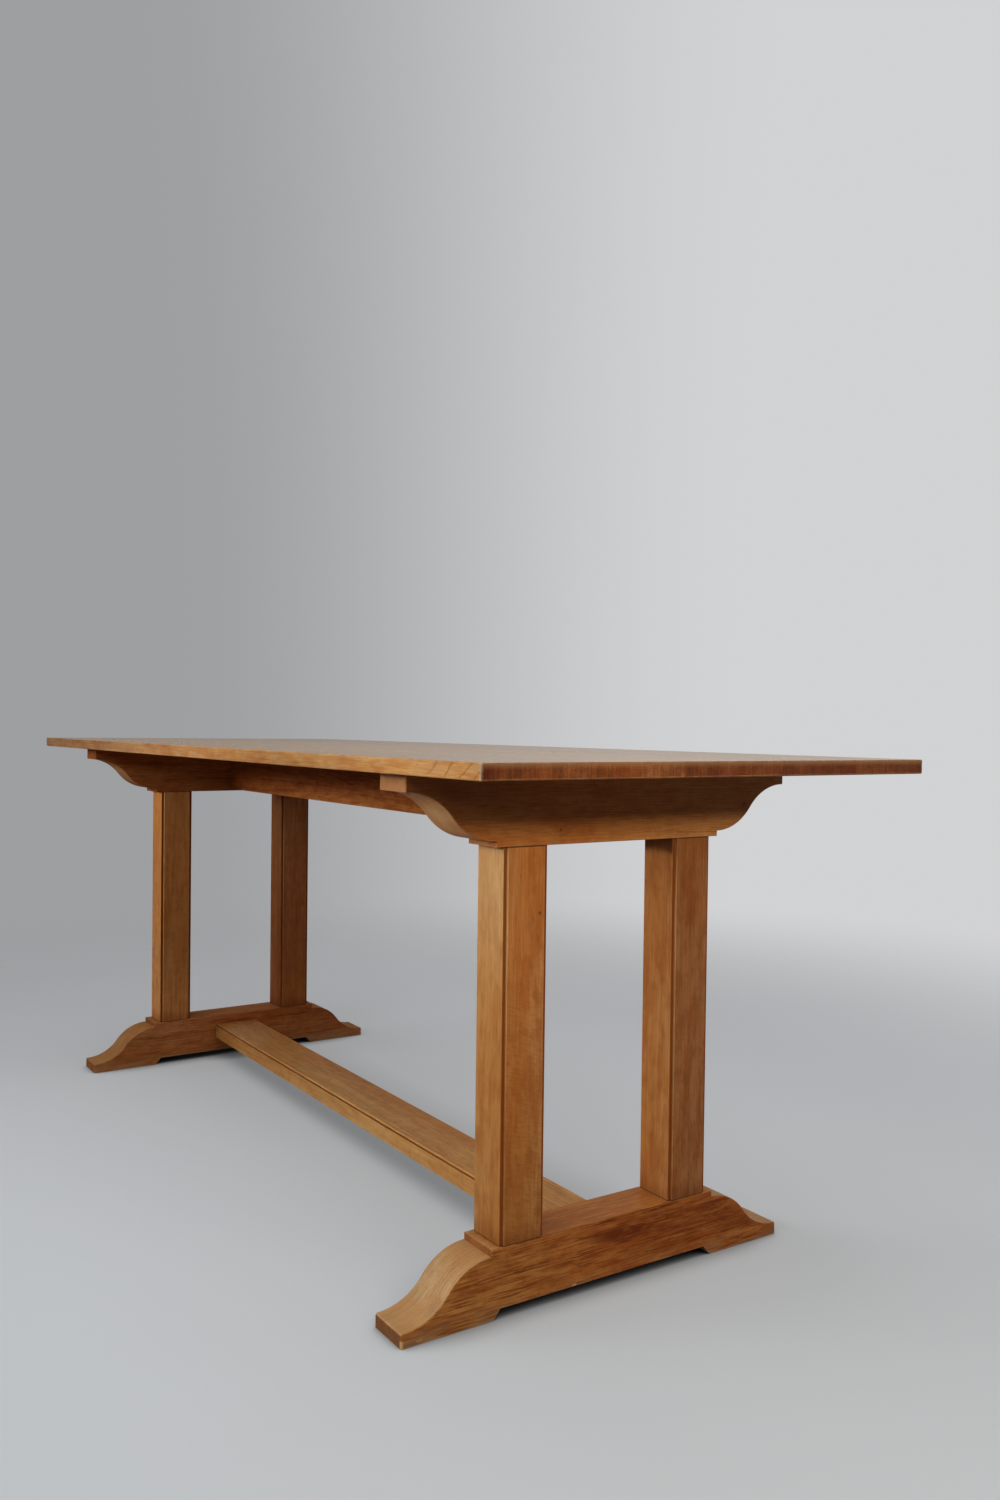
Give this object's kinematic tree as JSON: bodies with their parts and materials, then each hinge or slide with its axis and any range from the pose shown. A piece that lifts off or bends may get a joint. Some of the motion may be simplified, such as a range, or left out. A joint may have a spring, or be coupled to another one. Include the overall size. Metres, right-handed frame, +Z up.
{
  "type": "trestle dining table",
  "caption": "Oblong oak trestle dining table: a thin plank top on ogee-ended bearers, fielded posts and sledge feet, tied by a low stretcher and a rail under the top.",
  "frame": {"origin": "on the floor, midway between the trestles and under the middle of the top", "axes": "+X along the table towards the right trestle, +Y towards the back, +Z up out of the table top"},
  "size_m": [1.954, 0.744, 0.75],
  "materials": {
    "oak_top": "satin waxed oak, worn on the edges",
    "oak_frame": "satin waxed oak",
    "oak_inner": "bare oak",
    "screw_steel": "dulled steel"
  },
  "bodies": {
    "root": {"top_board_1": "oak_top", "top_board_2": "oak_top", "top_board_3": "oak_top", "top_board_4": "oak_top", "top_board_5": "oak_top", "top_tongue_1": "oak_inner", "top_tongue_2": "oak_inner", "top_tongue_3": "oak_inner", "top_tongue_4": "oak_inner", "right_bearer": "oak_frame", "left_bearer": "oak_frame", "right_front_post": "oak_frame", "right_back_post": "oak_frame", "left_front_post": "oak_frame", "left_back_post": "oak_frame", "right_foot": "oak_frame", "left_foot": "oak_frame", "stretcher": "oak_frame", "centre_rail": "oak_frame", "bearer_screws": "screw_steel", "rail_screws": "screw_steel"}
  },
  "joints": []
}
